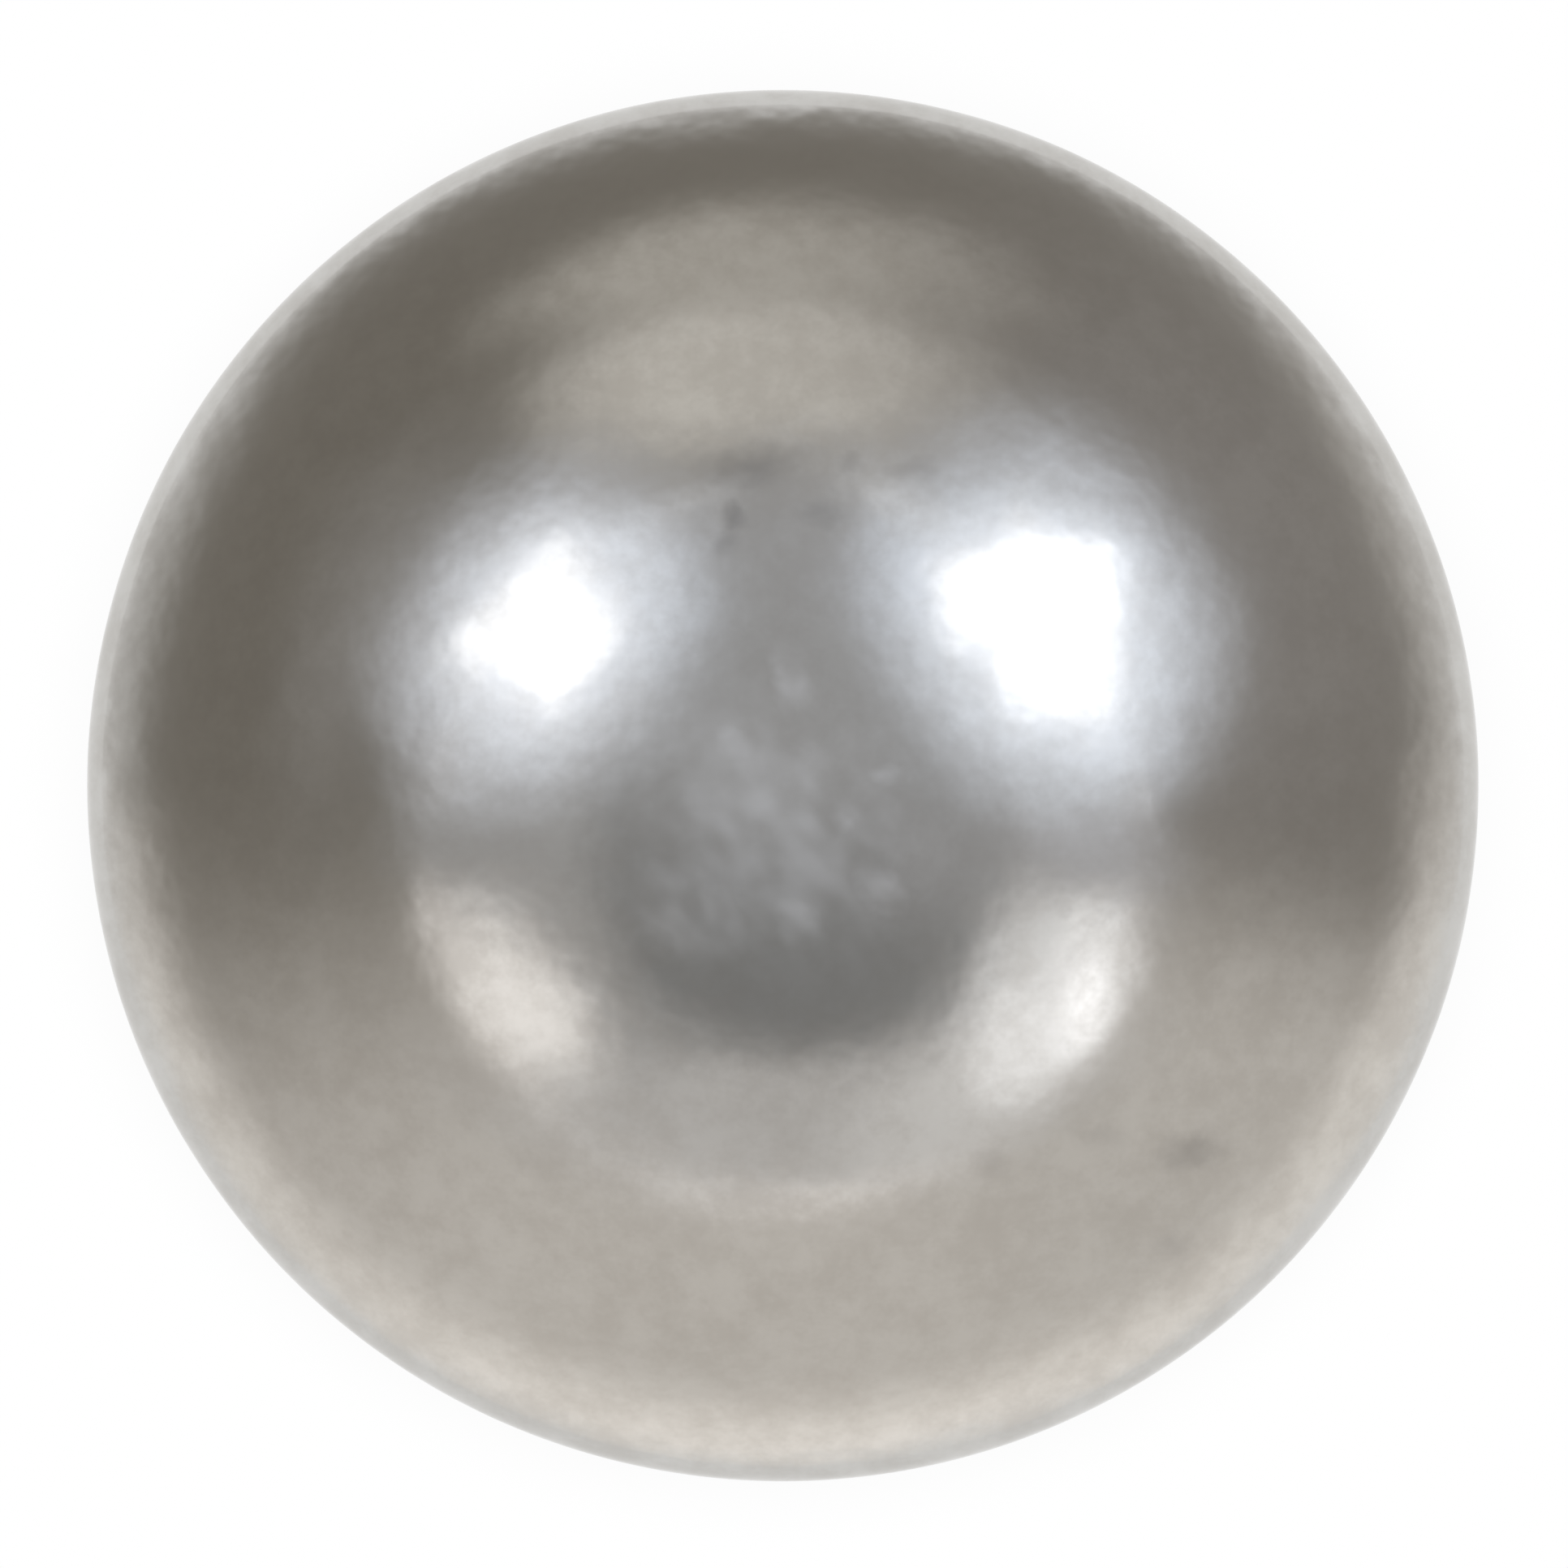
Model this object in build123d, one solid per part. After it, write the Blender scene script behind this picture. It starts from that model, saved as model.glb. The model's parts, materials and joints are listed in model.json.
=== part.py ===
from build123d import *

import os
from math import asin, degrees

# A solid round-head rivet, headed from one length of steel wire: a low domed head on a plain shank.
# The origin is on the axis, in the plane of the bearing face under the head.
# +Z points out of the top of the dome, and the shank runs down -Z to the flat end it stands on.
# All lengths are in millimetres and all angles in degrees.

# Shank
SHANK_DIAMETER = 5.0
SHANK_LENGTH = 10.0  # bearing face to the end of the shank
END_CHAMFER = 0.3  # 45 degree lead on the end
NECK_FILLET = 0.25  # concave radius where the shank meets the bearing face

# Head
HEAD_DIAMETER = 8.75
HEAD_HEIGHT = 2.25  # bearing face to the top of the dome
SHOULDER_RADIUS = 0.35  # rolls the dome over to the widest diameter
RIM_RADIUS = 0.3  # rolls the widest diameter under to the bearing face

QUARTER_TURN = 90.0
FULL_TURN = 360.0


def dome_arc():
    """Radius and angle of the dome's arc, which is level on the axis and tangent to the shoulder.

    The shoulder's centre stands at the rim's height, one shoulder radius in from the widest diameter.
    The two arcs touch where the line through both centres meets them, which fixes the dome's radius.
    """
    reach = HEAD_DIAMETER / 2 - SHOULDER_RADIUS
    rise = HEAD_HEIGHT - RIM_RADIUS
    radius = (reach**2 + rise**2 - SHOULDER_RADIUS**2) / (2 * (rise - SHOULDER_RADIUS))
    angle = degrees(asin(reach / (radius - SHOULDER_RADIUS)))
    return radius, angle


def rivet_profile():
    """Half section of the rivet, drawn from the top of the dome round to the middle of the shank's end."""
    shank_radius = SHANK_DIAMETER / 2
    dome_radius, dome_angle = dome_arc()
    with BuildSketch(Plane.XZ) as section:
        with BuildLine():
            dome = JernArc((0, HEAD_HEIGHT), (1, 0), dome_radius, -dome_angle)
            shoulder = JernArc(dome @ 1, dome % 1, SHOULDER_RADIUS, dome_angle - QUARTER_TURN)
            rim = JernArc(shoulder @ 1, shoulder % 1, RIM_RADIUS, -QUARTER_TURN)
            bearing = Line(rim @ 1, (shank_radius + NECK_FILLET, 0))
            neck = JernArc(bearing @ 1, bearing % 1, NECK_FILLET, QUARTER_TURN)
            wall = Line(neck @ 1, (shank_radius, END_CHAMFER - SHANK_LENGTH))
            lead = Line(wall @ 1, (shank_radius - END_CHAMFER, -SHANK_LENGTH))
            end = Line(lead @ 1, (0, -SHANK_LENGTH))
            Line(end @ 1, dome @ 0)
        make_face()
    return section.sketch


def make_rivet():
    """The whole rivet: its half section turned once round the axis."""
    return revolve(rivet_profile(), Axis.Z, FULL_TURN)


os.makedirs("parts", exist_ok=True)
export_step(make_rivet(), "parts/rivet.step")
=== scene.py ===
import json
from math import asin, atan, cos, pi, radians, sin, tan

import bpy
import numpy as np
from mathutils import Matrix, Vector


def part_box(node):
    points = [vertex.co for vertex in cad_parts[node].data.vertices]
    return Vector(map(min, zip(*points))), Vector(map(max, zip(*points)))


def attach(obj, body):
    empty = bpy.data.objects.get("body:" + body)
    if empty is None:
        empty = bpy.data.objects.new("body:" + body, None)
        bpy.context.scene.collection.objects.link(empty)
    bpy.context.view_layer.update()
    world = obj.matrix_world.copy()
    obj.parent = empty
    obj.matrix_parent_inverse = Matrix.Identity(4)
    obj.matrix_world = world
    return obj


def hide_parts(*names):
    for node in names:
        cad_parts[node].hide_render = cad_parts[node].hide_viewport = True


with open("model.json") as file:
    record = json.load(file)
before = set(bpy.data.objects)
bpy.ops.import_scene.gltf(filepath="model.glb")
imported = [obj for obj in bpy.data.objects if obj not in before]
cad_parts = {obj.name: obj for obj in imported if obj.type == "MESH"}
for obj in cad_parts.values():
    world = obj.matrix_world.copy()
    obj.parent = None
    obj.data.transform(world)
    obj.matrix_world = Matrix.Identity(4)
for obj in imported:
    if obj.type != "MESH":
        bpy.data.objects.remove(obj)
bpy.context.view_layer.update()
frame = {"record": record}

# All lengths are in metres and all angles in degrees, unless a comment or docstring says otherwise.
MM = 0.001
MICRON = 0.000001

# Sizes of the rivet that its box and mounts don't give
SHOULDER_RADIUS = 0.35 * MM  # rolls the dome over to the widest diameter
RIM_RADIUS = 0.3 * MM  # rolls the widest diameter under to the bearing face
NECK_FILLET = 0.25 * MM  # concave radius where the shank meets the bearing face
END_CHAMFER = 0.3 * MM  # 45 degree lead on the shank's end
EDGE_RADIUS = 0.05 * MM  # tumbled corners of that lead

# Points along each run of the profile, and round the axis
DOME_STEPS = 110
SHOULDER_STEPS = 24
RIM_STEPS = 16
BEARING_STEPS = 12
NECK_STEPS = 10
WALL_STEPS = 44
EDGE_STEPS = 5
LEAD_STEPS = 4
END_STEPS = 20
ROUND_STEPS = 320

# Unevenness of the struck and tumbled surface
WAVE_COUNT = 28
WAVE_LENGTHS = (0.9 * MM, 2.4 * MM)
WAVE_HEIGHT = 3.0 * MICRON
WAVE_SEED = 7
UNEVEN_HEIGHT = 4 * RIM_RADIUS  # height over the bearing face from which the unevenness is full

# Steel, polished and worn on the head, and drawn on the shank and under the head
DRAWN_BELOW = RIM_RADIUS / 2  # faces lower than this are drawn steel
STEEL_COLOUR = (0.58, 0.57, 0.55)
WORN_COLOUR = (0.93, 0.93, 0.94)
STAIN_COLOUR = (0.42, 0.40, 0.37)
# colour that the small dark marks below darken the head's steel to
DARK_MARK_COLOUR = (0.30, 0.29, 0.28)
DRAWN_COLOUR = (0.52, 0.51, 0.49)
DRAWN_EDGE_TINT = (0.45, 0.45, 0.45)  # steel reflects less just before its edge of view
HEAD_ROUGHNESS = 0.15
WORN_ROUGHNESS = 0.24
DRAWN_ROUGHNESS = 0.285
HEAD_ROUGHNESS_SPREAD = 0.02
DRAWN_ROUGHNESS_SPREAD = 0.045
HEAD_STAIN_SHARE = 0.20
DRAWN_STAIN_SHARE = 0.30

# Noise in the steel: sizes, how many finer steps it has, and how strong each step is to the one before
PLAIN_GRAIN = 0.5
NOISE_MIDDLE = (0.5, 0.5, 0.5)
MOTTLE_SIZE = 0.40 * MM
MOTTLE_DETAIL = 4.0
MOTTLE_GRAIN = 0.7
MOTTLE_FROM_TO = (0.3, 0.7)  # noise levels that are taken as the lowest and the highest
RIPPLE_SIZE = 0.34 * MM  # small ripples that make the reflections ragged
RIPPLE_DETAIL = 2.0
RIPPLE_HEIGHT = 2.6 * MICRON

# Stretched noise: its sizes along X, Y and Z before it is turned, and the noise levels at which it starts
# to show and is full
STRETCHED_DETAIL = 1.0
DRAWN_LINES = ((0.018 * MM, 0.018 * MM, 4.0 * MM), (0.42, 0.60))
DRAWN_HEIGHT = 0.25 * MICRON
DRAWN_BANDS = ((0.22 * MM, 0.22 * MM, 5.0 * MM), (0.30, 0.70))

# Rubbed cloud on top of the dome, seen from above: middle across and up, length, width, turn, strength
RUBBED = (
    (0.00 * MM, -0.32 * MM, 2.40 * MM, 2.00 * MM, -64.0, 0.80),
    (-0.52 * MM, -0.76 * MM, 1.20 * MM, 0.86 * MM, -32.0, 0.80),
    (0.09 * MM, -0.80 * MM, 0.96 * MM, 0.60 * MM, -48.0, 0.85),
    (0.55 * MM, -0.60 * MM, 0.70 * MM, 0.46 * MM, -50.0, 1.00),
    (0.36 * MM, -0.24 * MM, 0.52 * MM, 0.34 * MM, -60.0, 0.80),
    (-0.14 * MM, -0.31 * MM, 0.74 * MM, 0.46 * MM, -50.0, 0.95),
    (-0.26 * MM, 0.23 * MM, 0.70 * MM, 0.46 * MM, -30.0, 0.58),
    (0.05 * MM, 0.62 * MM, 0.70 * MM, 0.40 * MM, -76.0, 0.50),
    (0.60 * MM, 0.04 * MM, 0.44 * MM, 0.28 * MM, 0.0, 0.46),
)
RUB_TURN = -55.0  # turn of the cloud's noise, the way the rubbing went
RUB_CLOUD = ((0.36 * MM, 0.25 * MM, 0.36 * MM), (0.26, 0.74))
RUB_LOW_SHARE = 0.28  # strength that is left where the cloud is thinnest

# Small marks where the steel's colour is darker, seen from above, with their values in the same order
DARK_MARKS = (
    (-0.19 * MM, 1.98 * MM, 0.94 * MM, 0.38 * MM, 12.0, 0.55),
    (-0.29 * MM, 1.65 * MM, 0.24 * MM, 0.22 * MM, 0.0, 0.56),
    (-0.36 * MM, 1.51 * MM, 0.34 * MM, 0.24 * MM, 60.0, 0.33),
    (0.24 * MM, 1.67 * MM, 0.46 * MM, 0.24 * MM, 5.0, 0.33),
    (0.41 * MM, 1.98 * MM, 0.26 * MM, 0.18 * MM, 0.0, 0.28),
    (0.80 * MM, 1.94 * MM, 0.52 * MM, 0.20 * MM, 5.0, 0.26),
    (2.54 * MM, -2.28 * MM, 0.68 * MM, 0.38 * MM, 8.0, 0.50),
    (1.99 * MM, -2.18 * MM, 0.46 * MM, 0.24 * MM, 5.0, 0.22),
    (2.44 * MM, -2.88 * MM, 0.44 * MM, 0.30 * MM, 0.0, 0.28),
    (1.26 * MM, -2.34 * MM, 0.34 * MM, 0.22 * MM, -30.0, 0.16),
)
STIR_SIZE = 0.16 * MM  # noise that makes the edges of all these marks ragged
STIR_DETAIL = 2.0
STIR_REACH = 0.17 * MM

# Camera, and the head's size and place in the frame
IMAGE_PIXELS = 1932.0
HEAD_RADIUS_PIXELS = 857.4
HEAD_MIDDLE_PIXELS = (964.7, 967.9)
SENSOR = 36.0  # millimetres, as Blender's camera takes it
LENS = 300.0  # millimetres
CAMERA_CLIP = (0.005, 20.0)

# Floor
WHITE = (1.0, 1.0, 1.0)
LEVEL_AXES = (1.0, 1.0, 0.0)
FLOOR_REACH = 2.5
FLOOR_COLOUR = (0.90, 0.90, 0.90)
FLOOR_WHITE_SHARES = (0.35, 1.00)  # how far the floor is seen as plain white, at the foot and away
FLOOR_WHITE_FROM_TO = (2.3 * MM, 5.5 * MM)  # distances from the axis for those shares

# Lamps: tilt from straight up, bearing from +X, long and short side as seen from the rivet,
# turn of the long side from +X as seen from above, radiance and colour
LAMP_DISTANCE = 0.6
LAMPS = {
    "upper_right": (38.9, 30.3, 18.5, 12.0, 84.0, 1.2, (0.96, 0.98, 1.02)),
    "upper_right_side": (33.3, 41.7, 10.8, 10.8, 15.0, 1.2, (0.97, 0.98, 1.00)),
    "upper_left": (31.8, 149.0, 13.0, 9.5, 50.0, 1.0, (1.00, 0.99, 0.97)),
    "upper_left_strip": (39.0, 146.0, 18.0, 6.0, 42.0, 0.7, (1.00, 0.97, 0.92)),
    "lower_right": (44.9, 324.3, 8.0, 3.4, 83.0, 0.9, (0.96, 0.98, 1.04)),
}

# Surroundings: radiance on the rivet's far side, on its near side and along the horizon
FAR_COLOUR = (0.247, 0.228, 0.199)
NEAR_COLOUR = (0.785, 0.749, 0.703)
HORIZON_COLOUR = (1.00, 1.00, 1.00)
NEAR_FROM_TO = (0.035, -0.825)  # how far the direction leans to -Y
HORIZON_FROM_TO = (0.010, 0.032)  # how far the direction leans up
LEVEL_TILT = 90.0  # the horizon's
LOWEST_TILT = 96.0  # the lowest that is tried for patches
FIELD_TILT = 58.0  # parts the high fields from the low ones
FIELD_STEP = 1.0  # angle between the directions tried
FULL_TURN = 360.0

# Soft patches of the surroundings, each laid over those before it:
# tilt, bearing, half size outwards and across, softness share, colour
PATCHES = {
    "far_card": (50.5, 92.0, 10.0, 24.5, 0.35, (0.81, 0.782, 0.73)),
    "far_card_top": (66.0, 92.0, 7.5, 25.0, 0.45, (0.61, 0.583, 0.534)),
    "far_card_foot": (40.4, 81.5, 3.2, 9.0, 0.55, (0.62, 0.61, 0.595)),
    "right_wall": (62.0, 28.0, 26.0, 36.0, 0.70, (0.34, 0.322, 0.305)),
    "left_wall": (57.0, 160.0, 6.0, 18.0, 0.80, (0.335, 0.32, 0.30)),
    "right_near": (72.0, 320.0, 28.0, 20.0, 0.60, (0.755, 0.723, 0.68)),
    "near_low": (90.0, 272.0, 8.0, 86.0, 0.85, (1.35, 1.29, 1.23)),
    "right_low": (89.0, 10.0, 5.0, 34.0, 0.60, (0.62, 0.60, 0.57)),
    "left_low": (89.0, 170.0, 5.2, 34.0, 0.60, (0.60, 0.59, 0.57)),
    "left_near_low": (90.0, 208.0, 6.0, 22.0, 0.80, (1.05, 1.01, 0.96)),
    "right_near_low": (90.0, 332.0, 6.5, 22.0, 0.80, (1.11, 1.07, 1.02)),
    "opening_rim": (8.2, 273.0, 43.3, 43.3, 0.03, (1.60, 1.54, 1.50)),
    "opening": (5.5, 277.0, 42.5, 42.5, 0.05, (0.485, 0.48, 0.475)),
    "opening_low": (41.0, 274.0, 8.5, 34.0, 0.45, (0.70, 0.685, 0.67)),
    "opening_top": (26.5, 90.0, 13.0, 17.0, 0.50, (0.505, 0.51, 0.525)),
    "lower_right_tail": (43.0, 301.0, 6.5, 14.0, 0.45, (0.86, 0.845, 0.83)),
    "lower_right_glow": (41.2, 321.5, 7.8, 13.0, 0.30, (1.42, 1.42, 1.44)),
    "lower_right_corner": (33.5, 327.0, 5.5, 5.5, 0.40, (1.00, 1.00, 1.01)),
    "lower_left_glow": (40.2, 218.5, 6.2, 11.0, 0.50, (1.36, 1.32, 1.29)),
    "right_arm": (38.5, 347.0, 11.0, 6.0, 0.50, (0.57, 0.57, 0.59)),
    "left_arm": (37.5, 187.5, 10.0, 6.5, 0.45, (0.44, 0.435, 0.43)),
    "lens": (8.7, 279.0, 24.0, 24.0, 0.12, (0.283, 0.285, 0.285)),
    "lens_right": (20.5, 337.0, 6.0, 8.0, 0.80, (0.44, 0.44, 0.45)),
    "lens_top": (7.5, 90.0, 16.0, 24.0, 0.80, (0.47, 0.475, 0.485)),
    "upper_right_veil": (30.5, 56.0, 9.0, 8.0, 0.60, (0.84, 0.90, 1.01)),
    "upper_left_veil": (28.0, 127.5, 9.0, 7.8, 0.60, (0.78, 0.84, 0.94)),
    "opening_edge_right": (37.2, 67.0, 1.2, 6.5, 0.80, (1.10, 1.12, 1.16)),
    "opening_edge_left": (36.8, 108.5, 1.2, 5.0, 0.80, (0.82, 0.83, 0.85)),
    "upper_right_glow": (37.9, 31.4, 16.3, 18.3, 0.60, (1.38, 1.48, 1.66)),
    "upper_right_tip": (43.6, 48.2, 1.8, 1.6, 0.70, (1.52, 1.56, 1.64)),
    "upper_left_glow": (34.5, 147.4, 13.8, 16.2, 0.65, (1.44, 1.52, 1.68)),
}

# Kinds of sockets, and the places of the colour sockets on Blender's Mix node
VECTOR = "NodeSocketVector"
NUMBER = "NodeSocketFloat"
MIX_FIRST = 6
MIX_SECOND = 7
MIX_RESULT = 2


def dome_arc(head_radius, head_height):
    """Radius and angle of the dome's arc, level on the axis and tangent to the shoulder's arc."""
    reach = head_radius - SHOULDER_RADIUS
    rise = head_height - RIM_RADIUS
    radius = (reach**2 + rise**2 - SHOULDER_RADIUS**2) / (2 * (rise - SHOULDER_RADIUS))
    return radius, asin(reach / (radius - SHOULDER_RADIUS))


def arc(middle, radius, start, end, steps):
    """Points from angle start to angle end, both in radians, on a circle round middle."""
    angles = np.linspace(start, end, steps + 1)
    return np.column_stack([middle[0] + radius * np.cos(angles), middle[1] + radius * np.sin(angles)])


def run(start, end, steps):
    """Evenly spaced points from start to end."""
    shares = np.linspace(0, 1, steps + 1)[:, None]
    return np.array(start) * (1 - shares) + np.array(end) * shares


def softened(before, corner, after, radius):
    """Points of the small arc that rounds a corner: tangent to both its sides, at the given radius."""
    inward = np.array(before) - np.array(corner)
    outward = np.array(after) - np.array(corner)
    inward = inward / np.linalg.norm(inward)
    outward = outward / np.linalg.norm(outward)
    half_angle = np.arccos(inward @ outward) / 2
    bisector = (inward + outward) / np.linalg.norm(inward + outward)
    middle = np.array(corner) + bisector * radius / sin(half_angle)
    start = np.array(corner) + inward * radius / tan(half_angle) - middle
    end = np.array(corner) + outward * radius / tan(half_angle) - middle
    start_angle = np.arctan2(start[1], start[0])
    turn = np.arctan2(start[0] * end[1] - start[1] * end[0], start @ end)
    return arc(middle, radius, start_angle, start_angle + turn, EDGE_STEPS)


def rivet_profile(head_radius, head_height, shank_radius, shank_length):
    """Half section as rows of (distance from the axis, height), from the dome's top to the end's middle."""
    dome_radius, dome_angle = dome_arc(head_radius, head_height)
    dome_middle = (0, head_height - dome_radius)
    shoulder_middle = (head_radius - SHOULDER_RADIUS, RIM_RADIUS)
    rim_middle = (head_radius - RIM_RADIUS, RIM_RADIUS)
    neck_middle = (shank_radius + NECK_FILLET, -NECK_FILLET)
    wall_top = (shank_radius, -NECK_FILLET)
    wall_end = (shank_radius, END_CHAMFER - shank_length)
    lead_end = (shank_radius - END_CHAMFER, -shank_length)
    end_middle = (0, -shank_length)
    upper_edge = softened(wall_top, wall_end, lead_end, EDGE_RADIUS)
    lower_edge = softened(wall_end, lead_end, end_middle, EDGE_RADIUS)
    runs = [
        arc(dome_middle, dome_radius, pi / 2, pi / 2 - dome_angle, DOME_STEPS),
        arc(shoulder_middle, SHOULDER_RADIUS, pi / 2 - dome_angle, 0, SHOULDER_STEPS),
        arc(rim_middle, RIM_RADIUS, 0, -pi / 2, RIM_STEPS),
        run((head_radius - RIM_RADIUS, 0), (shank_radius + NECK_FILLET, 0), BEARING_STEPS),
        arc(neck_middle, NECK_FILLET, pi / 2, pi, NECK_STEPS),
        run(wall_top, upper_edge[0], WALL_STEPS),
        upper_edge,
        run(upper_edge[-1], lower_edge[0], LEAD_STEPS),
        lower_edge,
        run(lower_edge[-1], end_middle, END_STEPS),
    ]
    return np.vstack([runs[0]] + [points[1:] for points in runs[1:]])


def unevenness(points):
    """Height of the uneven surface at each point: a sum of sine waves in scattered directions."""
    random = np.random.default_rng(WAVE_SEED)
    directions = random.normal(size=(WAVE_COUNT, 3))
    directions /= np.linalg.norm(directions, axis=1)[:, None]
    lengths = random.uniform(*WAVE_LENGTHS, WAVE_COUNT)
    phases = random.uniform(0, 2 * pi, WAVE_COUNT)
    waves = np.sin(points @ (directions / lengths[:, None]).T * 2 * pi + phases)
    return waves @ (lengths / lengths.mean()) * WAVE_HEIGHT / np.sqrt(WAVE_COUNT)


def rivet_mesh(profile):
    """Mesh of the profile turned once round Z.

    Point (i, j) is (r[i] cos a[j], r[i] sin a[j], z[i]) with a[j] = 2 pi j / n, moved along the outward
    normal by the unevenness. The profile's first and last points lie on the axis and are one vertex each.
    """
    turns = np.arange(ROUND_STEPS) * 2 * pi / ROUND_STEPS
    rings = profile[1:-1]
    slopes = np.gradient(profile, axis=0)[1:-1]
    slopes /= np.linalg.norm(slopes, axis=1)[:, None]
    rays = np.column_stack([np.cos(turns), np.sin(turns), np.zeros(ROUND_STEPS)])
    axis = np.array([0.0, 0.0, 1.0])
    points = rings[:, None, :1] * rays + rings[:, None, 1:] * axis
    normals = -slopes[:, None, 1:] * rays + slopes[:, None, :1] * axis
    points = points.reshape(-1, 3)
    # The unevenness fades out down the head, so that the bearing face and the shank keep their true size.
    shares = np.clip(rings[:, 1] / UNEVEN_HEIGHT, 0, 1)
    lift = unevenness(points) * np.repeat(shares, ROUND_STEPS)
    points = points + normals.reshape(-1, 3) * lift[:, None]
    top = np.array([[0, 0, profile[0, 1]]])
    bottom = np.array([[0, 0, profile[-1, 1]]])
    vertices = np.vstack([points, top, bottom])
    top_index = len(points)
    bottom_index = top_index + 1
    here = np.arange(ROUND_STEPS)
    onward = (here + 1) % ROUND_STEPS
    starts = np.arange(len(rings) - 1)[:, None] * ROUND_STEPS
    corners = [starts + here, starts + ROUND_STEPS + here, starts + ROUND_STEPS + onward, starts + onward]
    quads = np.stack(corners, axis=-1).reshape(-1, 4)
    last = (len(rings) - 1) * ROUND_STEPS
    top_fan = np.column_stack([np.full(ROUND_STEPS, top_index), here, onward])
    bottom_fan = np.column_stack([np.full(ROUND_STEPS, bottom_index), last + onward, last + here])
    mesh = bpy.data.meshes.new("rivet_steel")
    mesh.from_pydata(vertices, [], quads.tolist() + top_fan.tolist() + bottom_fan.tolist())
    mesh.polygons.foreach_set("use_smooth", np.ones(len(mesh.polygons), dtype=bool))
    middles = np.zeros(len(mesh.polygons) * 3)
    mesh.polygons.foreach_get("center", middles)
    drawn = (middles.reshape(-1, 3)[:, 2] < DRAWN_BELOW).astype(np.int32)
    mesh.polygons.foreach_set("material_index", drawn)
    mesh.update()
    return mesh


def feed(tree, node, inputs):
    """Links each of these inputs of a node from a socket, or sets it to a constant."""
    for key, value in inputs.items():
        if isinstance(value, bpy.types.NodeSocket):
            tree.links.new(value, node.inputs[key])
        else:
            node.inputs[key].default_value = value


def add(tree, kind, inputs, **settings):
    """A new node of that kind, with its settings and inputs."""
    node = tree.nodes.new(kind)
    for name, value in settings.items():
        setattr(node, name, value)
    feed(tree, node, inputs)
    return node


def maths(tree, operation, first, second=0.0, third=0.0):
    """Result of a Math node."""
    return add(tree, "ShaderNodeMath", {0: first, 1: second, 2: third}, operation=operation).outputs[0]


def vectors(tree, operation, inputs, output="Vector"):
    """Result of a Vector Math node."""
    return add(tree, "ShaderNodeVectorMath", inputs, operation=operation).outputs[output]


def noise(tree, position, scale, detail, grain=PLAIN_GRAIN, output="Fac"):
    """Result of a Noise Texture node."""
    inputs = {"Vector": position, "Scale": scale, "Detail": detail, "Roughness": grain}
    return add(tree, "ShaderNodeTexNoise", inputs).outputs[output]


def smooth_step(tree, value, start, end, low=0.0, high=1.0):
    """Runs smoothly from low at start to high at end."""
    inputs = {"Value": value, "From Min": start, "From Max": end, "To Min": low, "To Max": high}
    return add(tree, "ShaderNodeMapRange", inputs, interpolation_type="SMOOTHSTEP").outputs[0]


def opaque(colour):
    """A colour's socket as it is, or a plain colour with full alpha."""
    if isinstance(colour, bpy.types.NodeSocket):
        return colour
    return (*colour, 1.0)


def blend(tree, share, first, second):
    """Colour that goes from first to second as share goes from zero to one."""
    inputs = {0: share, MIX_FIRST: opaque(first), MIX_SECOND: opaque(second)}
    return add(tree, "ShaderNodeMix", inputs, data_type="RGBA").outputs[MIX_RESULT]


def new_group(name, inputs, outputs):
    """An empty node group with those sockets. Returns its tree, its inputs and its output node."""
    tree = bpy.data.node_groups.new(name, "ShaderNodeTree")
    for label, kind in inputs:
        tree.interface.new_socket(label, in_out="INPUT", socket_type=kind)
    for label, kind in outputs:
        tree.interface.new_socket(label, in_out="OUTPUT", socket_type=kind)
    return tree, tree.nodes.new("NodeGroupInput").outputs, tree.nodes.new("NodeGroupOutput")


def use_group(tree, group, inputs):
    """A group placed in tree, with those inputs. Returns its outputs."""
    node = tree.nodes.new("ShaderNodeGroup")
    node.node_tree = group
    feed(tree, node, inputs)
    return node.outputs


def along(tree, vector, axis):
    """How far a vector reaches along an axis: their dot product."""
    return vectors(tree, "DOT_PRODUCT", {0: vector, 1: axis}, "Value")


def oval_reach(tree, vector, first, second):
    """How far out of an oval's middle a vector is: the root of its squared parts along the two axes."""
    parts = {"X": along(tree, vector, first), "Y": along(tree, vector, second)}
    flat = add(tree, "ShaderNodeCombineXYZ", parts).outputs[0]
    return vectors(tree, "LENGTH", {0: flat}, "Value")


def oval_mark_group():
    """Group: a soft oval mark on top of the dome, seen from above."""
    inputs = [("Position", VECTOR), ("Middle", VECTOR), ("Lengthways", VECTOR), ("Widthways", VECTOR)]
    tree, given, result = new_group("oval mark", inputs, [("Mask", NUMBER)])
    offset = vectors(tree, "SUBTRACT", {0: given["Position"], 1: given["Middle"]})
    reach = oval_reach(tree, offset, given["Lengthways"], given["Widthways"])
    tree.links.new(smooth_step(tree, reach, 1.0, 0.0), result.inputs["Mask"])
    return tree


def strongest_mark(tree, group, position, rows):
    """The strongest of the marks in rows at that position."""
    strongest = 0.0
    for across, up, length, width, turn, strength in rows:
        lengthways = Vector((cos(radians(turn)), sin(radians(turn)), 0))
        widthways = Vector((-lengthways.y, lengthways.x, 0))
        values = {
            "Position": position,
            "Middle": (across, up, 0),
            "Lengthways": lengthways * 2 / length,
            "Widthways": widthways * 2 / width,
        }
        mask = maths(tree, "MULTIPLY", use_group(tree, group, values)["Mask"], strength)
        strongest = maths(tree, "MAXIMUM", strongest, mask)
    return strongest


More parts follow.
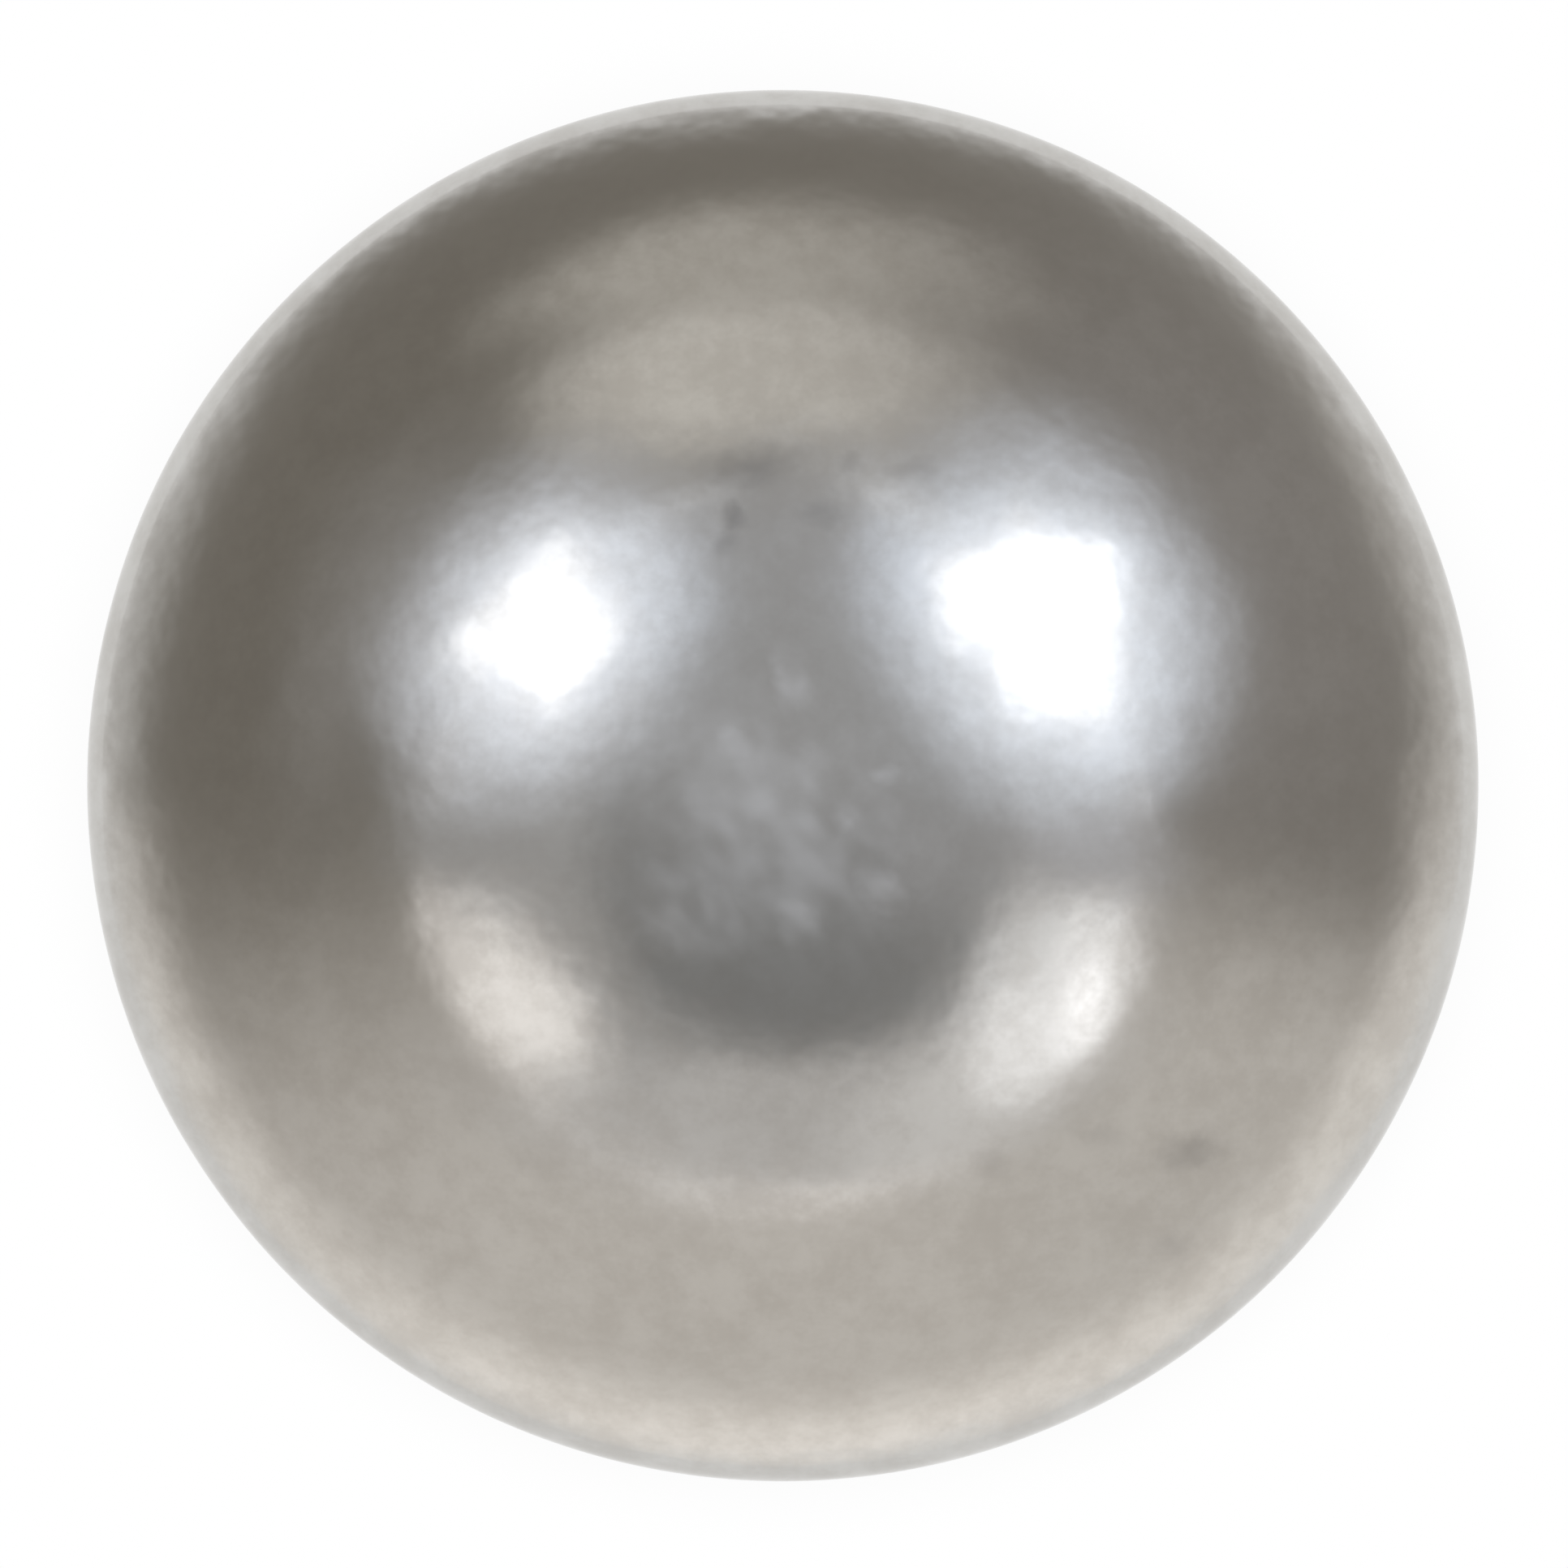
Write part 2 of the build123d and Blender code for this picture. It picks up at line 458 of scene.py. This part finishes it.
def stretched_group():
    """Group: noise turned round Z and stretched, from where it starts to show to where it is full."""
    inputs = [("Position", VECTOR), ("Turn", NUMBER), ("Sizes", VECTOR)]
    inputs += [("Start", NUMBER), ("Full", NUMBER)]
    tree, given, result = new_group("stretched noise", inputs, [("Pattern", NUMBER)])
    turned = add(
        tree,
        "ShaderNodeVectorRotate",
        {"Vector": given["Position"], "Angle": given["Turn"]},
        rotation_type="Z_AXIS",
        invert=True,
    )
    scaled = vectors(tree, "DIVIDE", {0: turned.outputs[0], 1: given["Sizes"]})
    level = noise(tree, scaled, 1.0, STRETCHED_DETAIL)
    tree.links.new(smooth_step(tree, level, given["Start"], given["Full"]), result.inputs["Pattern"])
    return tree


def stretched_noise(tree, group, position, turn, look):
    """One pattern of stretched noise, with its sizes and noise levels as they are listed above."""
    sizes, (start, full) = look
    values = {"Position": position, "Turn": radians(turn), "Sizes": sizes, "Start": start, "Full": full}
    return use_group(tree, group, values)["Pattern"]


def wear_group(stretched):
    """Group: the rubbed cloud and the small dark marks of the head, as two masks."""
    outputs = [("Rubbed", NUMBER), ("Dark", NUMBER)]
    tree, given, result = new_group("head wear", [("Position", VECTOR)], outputs)
    position = given["Position"]
    stir = noise(tree, position, 1 / STIR_SIZE, STIR_DETAIL, output="Color")
    centred = vectors(tree, "SUBTRACT", {0: stir, 1: NOISE_MIDDLE})
    nudge = vectors(tree, "SCALE", {0: centred, "Scale": STIR_REACH})
    stirred = vectors(tree, "ADD", {0: position, 1: nudge})
    mark = oval_mark_group()
    cloud = stretched_noise(tree, stretched, position, RUB_TURN, RUB_CLOUD)
    strength = maths(tree, "MULTIPLY_ADD", cloud, 1 - RUB_LOW_SHARE, RUB_LOW_SHARE)
    rubbed = maths(tree, "MULTIPLY", strongest_mark(tree, mark, stirred, RUBBED), strength)
    tree.links.new(rubbed, result.inputs["Rubbed"])
    tree.links.new(strongest_mark(tree, mark, stirred, DARK_MARKS), result.inputs["Dark"])
    return tree


def new_material(name):
    """A material with a metal surface. Returns it with its tree, the surface and the position."""
    material = bpy.data.materials.new(name)
    material.use_nodes = True
    tree = material.node_tree
    tree.nodes.clear()
    surface = add(tree, "ShaderNodeBsdfPrincipled", {"Metallic": 1.0})
    output = tree.nodes.new("ShaderNodeOutputMaterial")
    tree.links.new(surface.outputs[0], output.inputs["Surface"])
    position = tree.nodes.new("ShaderNodeTexCoord").outputs["Object"]
    return material, tree, surface, position


def dress(tree, surface, colour, rough, height, distance):
    """Gives a surface its colour, its roughness and a bump of that height."""
    bump = add(tree, "ShaderNodeBump", {"Height": height, "Distance": distance, "Strength": 1.0})
    feed(tree, surface, {"Base Color": colour, "Roughness": rough, "Normal": bump.outputs[0]})


def head_material(stretched):
    """Polished steel with a rubbed cloud, small dark marks, small ripples and a slow mottle."""
    material, tree, surface, position = new_material("steel_polished")
    wear = use_group(tree, wear_group(stretched), {"Position": position})
    mottle = noise(tree, position, 1 / MOTTLE_SIZE, MOTTLE_DETAIL, MOTTLE_GRAIN)
    variation = smooth_step(tree, mottle, *MOTTLE_FROM_TO, -1.0, 1.0)
    ripples = noise(tree, position, 1 / RIPPLE_SIZE, RIPPLE_DETAIL)
    clouded = maths(tree, "MULTIPLY_ADD", variation, HEAD_STAIN_SHARE, HEAD_STAIN_SHARE)
    plain = blend(tree, clouded, STEEL_COLOUR, STAIN_COLOUR)
    worn = blend(tree, wear["Rubbed"], plain, WORN_COLOUR)
    colour = blend(tree, wear["Dark"], worn, DARK_MARK_COLOUR)
    polished = maths(tree, "MULTIPLY_ADD", variation, HEAD_ROUGHNESS_SPREAD, HEAD_ROUGHNESS)
    rough = maths(tree, "MULTIPLY_ADD", wear["Rubbed"], WORN_ROUGHNESS - HEAD_ROUGHNESS, polished)
    dress(tree, surface, colour, rough, ripples, RIPPLE_HEIGHT)
    return material


def shank_material(stretched):
    """Plain drawn steel: fine lines along the wire, and bands that are a little duller or brighter."""
    material, tree, surface, position = new_material("steel_drawn")
    surface.inputs["Specular Tint"].default_value = opaque(DRAWN_EDGE_TINT)
    drawn = stretched_noise(tree, stretched, position, 0.0, DRAWN_LINES)
    bands = stretched_noise(tree, stretched, position, 0.0, DRAWN_BANDS)
    lined = maths(tree, "MULTIPLY", maths(tree, "ADD", drawn, bands), DRAWN_STAIN_SHARE)
    colour = blend(tree, lined, DRAWN_COLOUR, STAIN_COLOUR)
    rough = maths(tree, "MULTIPLY_ADD", bands, DRAWN_ROUGHNESS_SPREAD, DRAWN_ROUGHNESS)
    dress(tree, surface, colour, rough, drawn, DRAWN_HEIGHT)
    return material


def heading(tilt, bearing):
    """Direction at a tilt from straight up and a bearing from +X, with its outward and sideways axes."""
    lean = radians(tilt)
    way = radians(bearing)
    aim = Vector((sin(lean) * cos(way), sin(lean) * sin(way), cos(lean)))
    outward = Vector((cos(lean) * cos(way), cos(lean) * sin(way), -sin(lean)))
    sideways = Vector((-sin(way), cos(way), 0))
    return aim, outward, sideways


def soft_patch_group():
    """Group: one inside an oval patch of directions, falling softly to nothing round its edge."""
    inputs = [("Direction", VECTOR), ("Outward", VECTOR), ("Sideways", VECTOR)]
    inputs += [("Inner", NUMBER), ("Outer", NUMBER)]
    tree, given, result = new_group("soft patch", inputs, [("Mask", NUMBER)])
    reach = oval_reach(tree, given["Direction"], given["Outward"], given["Sideways"])
    tree.links.new(smooth_step(tree, reach, given["Outer"], given["Inner"]), result.inputs["Mask"])
    return tree


def tried_directions():
    """Unit directions one step apart, from straight up to a little below the horizon."""
    tilts = np.radians(np.arange(0, LOWEST_TILT, FIELD_STEP))
    bearings = np.radians(np.arange(0, FULL_TURN, FIELD_STEP))
    tilt, bearing = (values.ravel() for values in np.meshgrid(tilts, bearings))
    return np.column_stack((np.sin(tilt) * np.cos(bearing), np.sin(tilt) * np.sin(bearing), np.cos(tilt)))


def patches_in(directions):
    """The patches that reach any of these directions with their soft edge, and with a step to spare."""
    chosen = []
    for patch in PATCHES.values():
        tilt, bearing, half_out, half_across, soft_share, _ = patch
        aim, outward, sideways = (np.array(axis) for axis in heading(tilt, bearing))
        out = directions @ outward / sin(radians(half_out + FIELD_STEP))
        across = directions @ sideways / sin(radians(half_across + FIELD_STEP))
        if ((np.hypot(out, across) < 1 + soft_share) & (directions @ aim > 0)).any():
            chosen.append(patch)
    return chosen


def lay_patches(tree, direction, colour, patches, group):
    """A colour with patches laid over it in order. A patch across the horizon keeps to its own side."""
    for tilt, bearing, half_out, half_across, soft_share, patch_colour in patches:
        aim, outward, sideways = heading(tilt, bearing)
        values = {
            "Direction": direction,
            "Outward": outward / sin(radians(half_out)),
            "Sideways": sideways / sin(radians(half_across)),
            "Inner": 1 - soft_share,
            "Outer": 1 + soft_share,
        }
        mask = use_group(tree, group, values)["Mask"]
        if tilt + half_out * (1 + soft_share) > LEVEL_TILT:
            facing = maths(tree, "GREATER_THAN", along(tree, direction, aim), 0.0)
            mask = maths(tree, "MULTIPLY", mask, facing)
        colour = blend(tree, mask, colour, patch_colour)
    return colour


def make_surroundings():
    """Soft studio surroundings as a colour for each direction: far side, near side, patches and horizon.

    The directions are parted into four fields, high and low, far and near. Each field has only the patches
    that reach it, so that a ray works out no others.
    """
    world = bpy.data.worlds.new("studio")
    bpy.context.scene.world = world
    world.use_nodes = True
    tree = world.node_tree
    tree.nodes.clear()
    direction = tree.nodes.new("ShaderNodeTexCoord").outputs["Generated"]
    parts = add(tree, "ShaderNodeSeparateXYZ", {0: direction}).outputs
    near = smooth_step(tree, parts["Y"], *NEAR_FROM_TO)
    plain = blend(tree, near, FAR_COLOUR, NEAR_COLOUR)
    level = smooth_step(tree, parts["Z"], *HORIZON_FROM_TO)
    group = soft_patch_group()
    high_from = cos(radians(FIELD_TILT))
    is_high = maths(tree, "GREATER_THAN", parts["Z"], high_from)
    is_far = maths(tree, "GREATER_THAN", parts["Y"], 0.0)
    tried = tried_directions()
    tried_high = tried[:, 2] > high_from
    tried_far = tried[:, 1] > 0
    halves = []
    for in_height in (~tried_high, tried_high):
        fields = []
        for in_side in (~tried_far, tried_far):
            patches = patches_in(tried[in_height & in_side])
            colour = lay_patches(tree, direction, plain, patches, group)
            seen = blend(tree, level, HORIZON_COLOUR, colour)
            fields.append(add(tree, "ShaderNodeBackground", {"Color": seen, "Strength": 1.0}).outputs[0])
        halves.append(add(tree, "ShaderNodeMixShader", {0: is_far, 1: fields[0], 2: fields[1]}).outputs[0])
    whole = add(tree, "ShaderNodeMixShader", {0: is_high, 1: halves[0], 2: halves[1]}).outputs[0]
    output = tree.nodes.new("ShaderNodeOutputWorld")
    tree.links.new(whole, output.inputs["Surface"])


def make_lamps():
    """Soft boxes round the camera, all facing the rivet."""
    for name, (tilt, bearing, long_side, short_side, turn, radiance, colour) in LAMPS.items():
        aim, outward, sideways = heading(tilt, bearing)
        lean = radians(turn - bearing)
        long_way = cos(lean) * outward + sin(lean) * sideways
        lamp = bpy.data.lights.new(name, "AREA")
        lamp.shape = "RECTANGLE"
        lamp.size = 2 * LAMP_DISTANCE * tan(radians(long_side) / 2)
        lamp.size_y = 2 * LAMP_DISTANCE * tan(radians(short_side) / 2)
        lamp.energy = radiance * pi * lamp.size * lamp.size_y
        lamp.color = colour
        box = bpy.data.objects.new(name, lamp)
        turned = Matrix((long_way, aim.cross(long_way), aim)).transposed().to_4x4()
        box.matrix_world = Matrix.Translation(aim * LAMP_DISTANCE) @ turned
        bpy.context.scene.collection.objects.link(box)


def make_floor(height):
    """A plain pale floor, seen white but for the shadow at the rivet's foot."""
    sides = ((-1, -1), (1, -1), (1, 1), (-1, 1))
    mesh = bpy.data.meshes.new("floor")
    mesh.from_pydata([(x * FLOOR_REACH, y * FLOOR_REACH, height) for x, y in sides], [], [(0, 1, 2, 3)])
    material = bpy.data.materials.new("floor_pale")
    material.use_nodes = True
    tree = material.node_tree
    surface = tree.nodes["Principled BSDF"]
    feed(tree, surface, {"Base Color": opaque(FLOOR_COLOUR), "Roughness": 1.0, "Specular IOR Level": 0.0})
    position = tree.nodes.new("ShaderNodeTexCoord").outputs["Object"]
    flat = vectors(tree, "MULTIPLY", {0: position, 1: LEVEL_AXES})
    reach = vectors(tree, "LENGTH", {0: flat}, "Value")
    share = smooth_step(tree, reach, *FLOOR_WHITE_FROM_TO, *FLOOR_WHITE_SHARES)
    seen_by = tree.nodes.new("ShaderNodeLightPath").outputs
    camera_or_glossy = maths(tree, "ADD", seen_by["Is Camera Ray"], seen_by["Is Glossy Ray"])
    seen = maths(tree, "ADD", camera_or_glossy, seen_by["Is Transmission Ray"])
    white = add(tree, "ShaderNodeEmission", {"Color": opaque(WHITE), "Strength": 1.0})
    seen_share = maths(tree, "MULTIPLY", seen, share)
    mixed = add(tree, "ShaderNodeMixShader", {0: seen_share, 1: surface.outputs[0], 2: white.outputs[0]})
    tree.links.new(mixed.outputs[0], tree.nodes["Material Output"].inputs["Surface"])
    mesh.materials.append(material)
    floor = bpy.data.objects.new("floor", mesh)
    bpy.context.scene.collection.objects.link(floor)


def make_camera(head_radius):
    """Camera over the rivet, looking straight down, at the height where the head has its size in the frame.

    The edge of the view of the head is a line from the camera that touches the shoulder's arc.
    """
    half_frame = IMAGE_PIXELS / 2
    half_tangent = SENSOR / 2 / LENS
    edge = atan(half_tangent * HEAD_RADIUS_PIXELS / half_frame)
    reach = head_radius - SHOULDER_RADIUS
    height = RIM_RADIUS + (reach * cos(edge) + SHOULDER_RADIUS) / sin(edge)
    data = bpy.data.cameras.new("camera")
    data.sensor_width = SENSOR
    data.lens = LENS
    data.clip_start, data.clip_end = CAMERA_CLIP
    data.dof.use_dof = False
    camera = bpy.data.objects.new("camera", data)
    pixel = height * half_tangent / half_frame
    camera.location = (
        (half_frame - HEAD_MIDDLE_PIXELS[0]) * pixel,
        (HEAD_MIDDLE_PIXELS[1] - half_frame) * pixel,
        height,
    )
    bpy.context.scene.collection.objects.link(camera)
    bpy.context.scene.camera = camera


low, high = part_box("rivet")
mounts = {mount["name"]: mount for mount in frame["record"]["mounts"]}
head_radius = high.x
shank_radius = mounts["shank"]["dims"]["r_mm"] * MM

profile = rivet_profile(head_radius, high.z, shank_radius, -low.z)
rivet = bpy.data.objects.new("rivet_steel", rivet_mesh(profile))
bpy.context.scene.collection.objects.link(rivet)
stretched = stretched_group()
rivet.data.materials.append(head_material(stretched))
rivet.data.materials.append(shank_material(stretched))
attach(rivet, "root")
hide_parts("rivet")

make_floor(low.z)
make_lamps()
make_surroundings()
make_camera(head_radius)
bpy.context.scene.view_settings.view_transform = "Standard"
